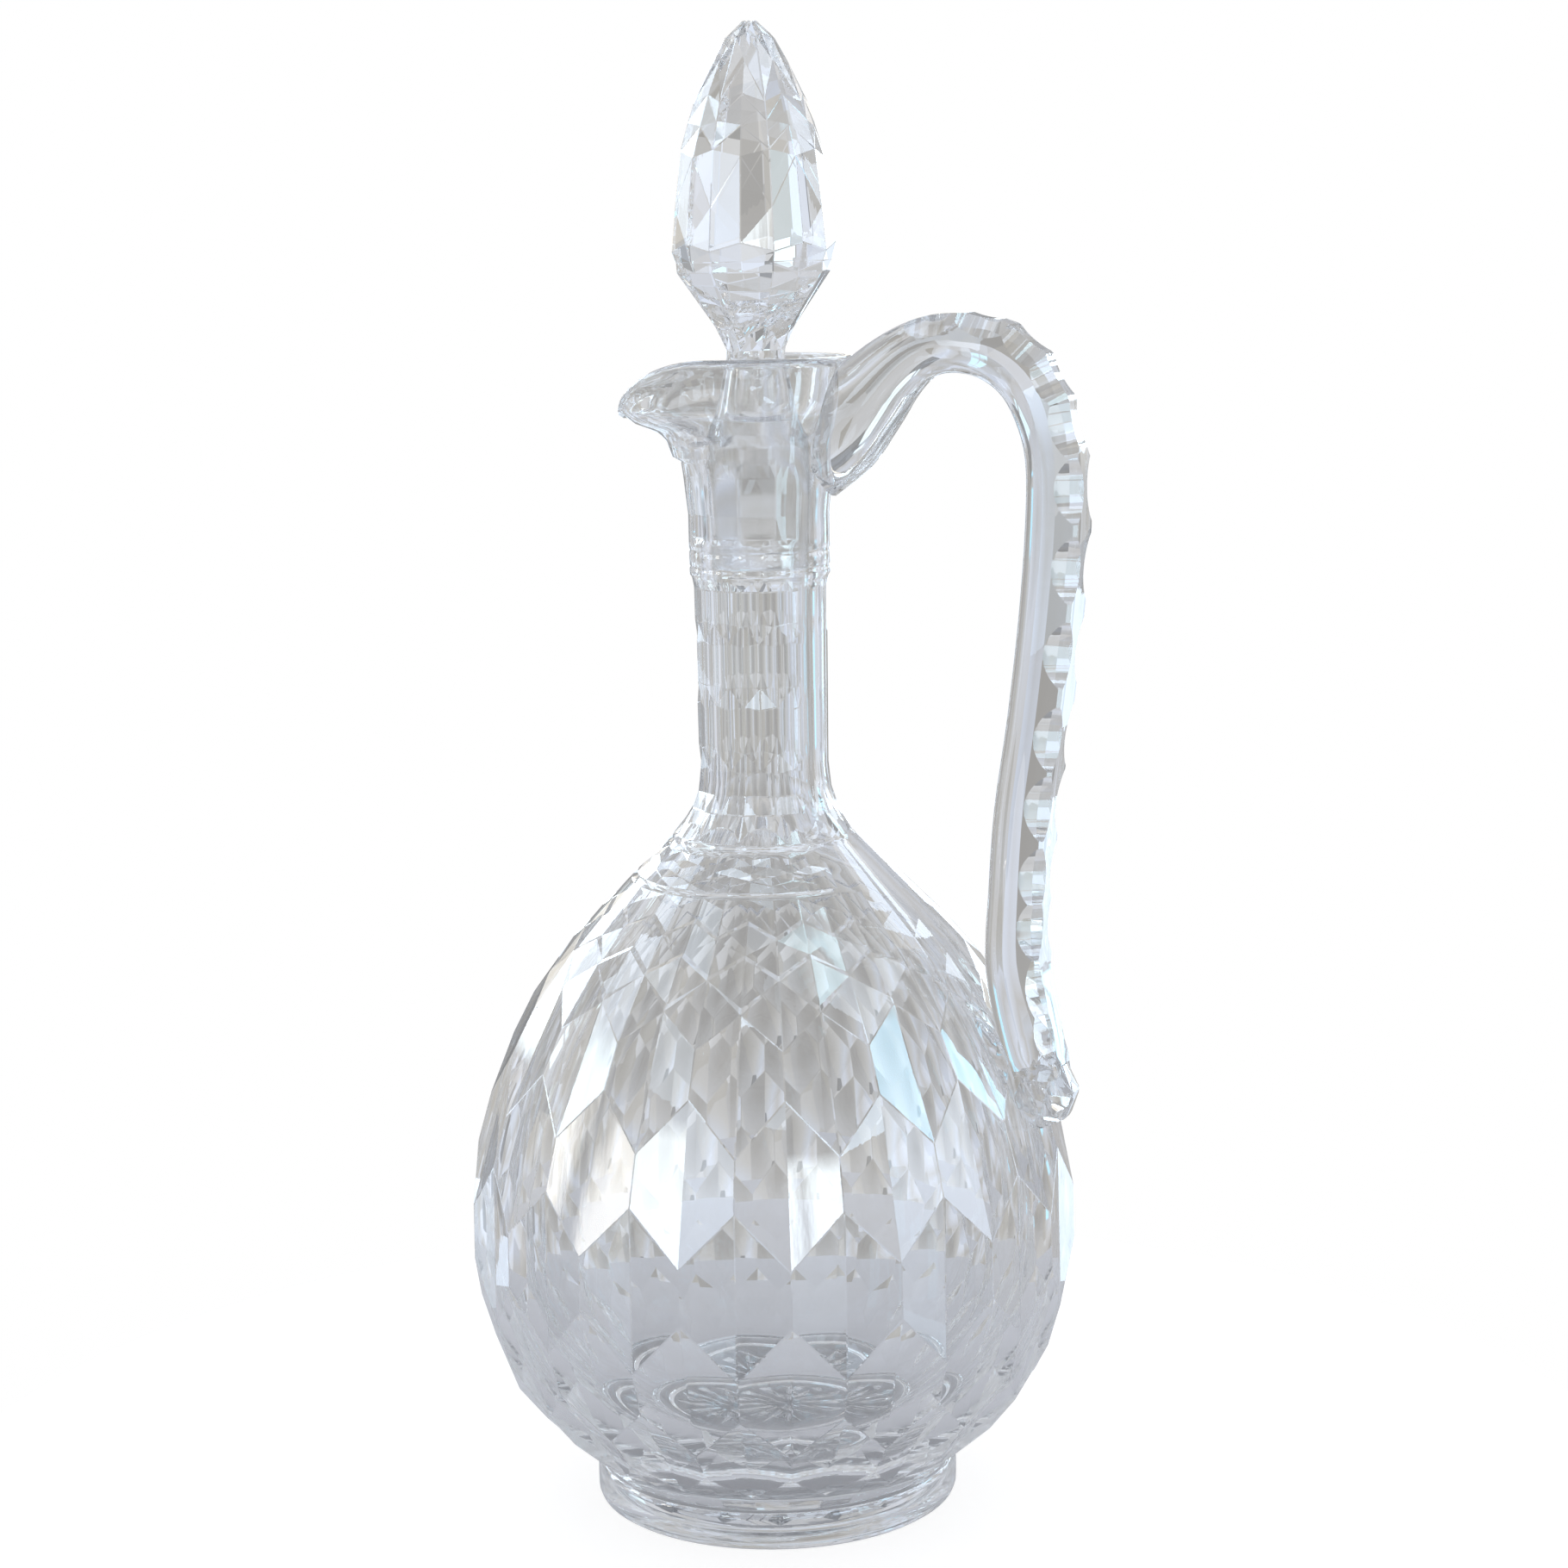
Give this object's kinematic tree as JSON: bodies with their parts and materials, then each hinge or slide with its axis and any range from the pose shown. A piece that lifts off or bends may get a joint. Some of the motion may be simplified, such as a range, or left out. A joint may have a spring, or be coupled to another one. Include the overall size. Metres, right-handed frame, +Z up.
{
  "type": "claret jug with ground stopper",
  "caption": "Cut-crystal claret jug: pear-shaped faceted bowl on a round foot, slender neck with pouring lip, tall loop handle and pointed lift-out ground stopper.",
  "frame": {"origin": "on the jug's axis, in the plane of the foot's rest face", "axes": "+Z up along the jug's axis, +X towards the handle, -X towards the pouring lip"},
  "size_m": [0.1441, 0.137, 0.33],
  "materials": {
    "crystal_body": "clear polished lead crystal, cut",
    "crystal_foot": "clear polished lead crystal, star-cut below",
    "crystal_handle": "clear polished lead crystal, cut",
    "crystal_stopper": "clear polished lead crystal, ground plug"
  },
  "bodies": {
    "jug": {"jug_body": "crystal_body", "foot": "crystal_foot", "handle": "crystal_handle"},
    "stopper": {"stopper": "crystal_stopper"}
  },
  "joints": [
    {"name": "stopper_lift", "type": "slide", "parent": "jug", "child": "stopper", "axis": [0, 0, 1], "range_m": [0, 0.06]}
  ]
}
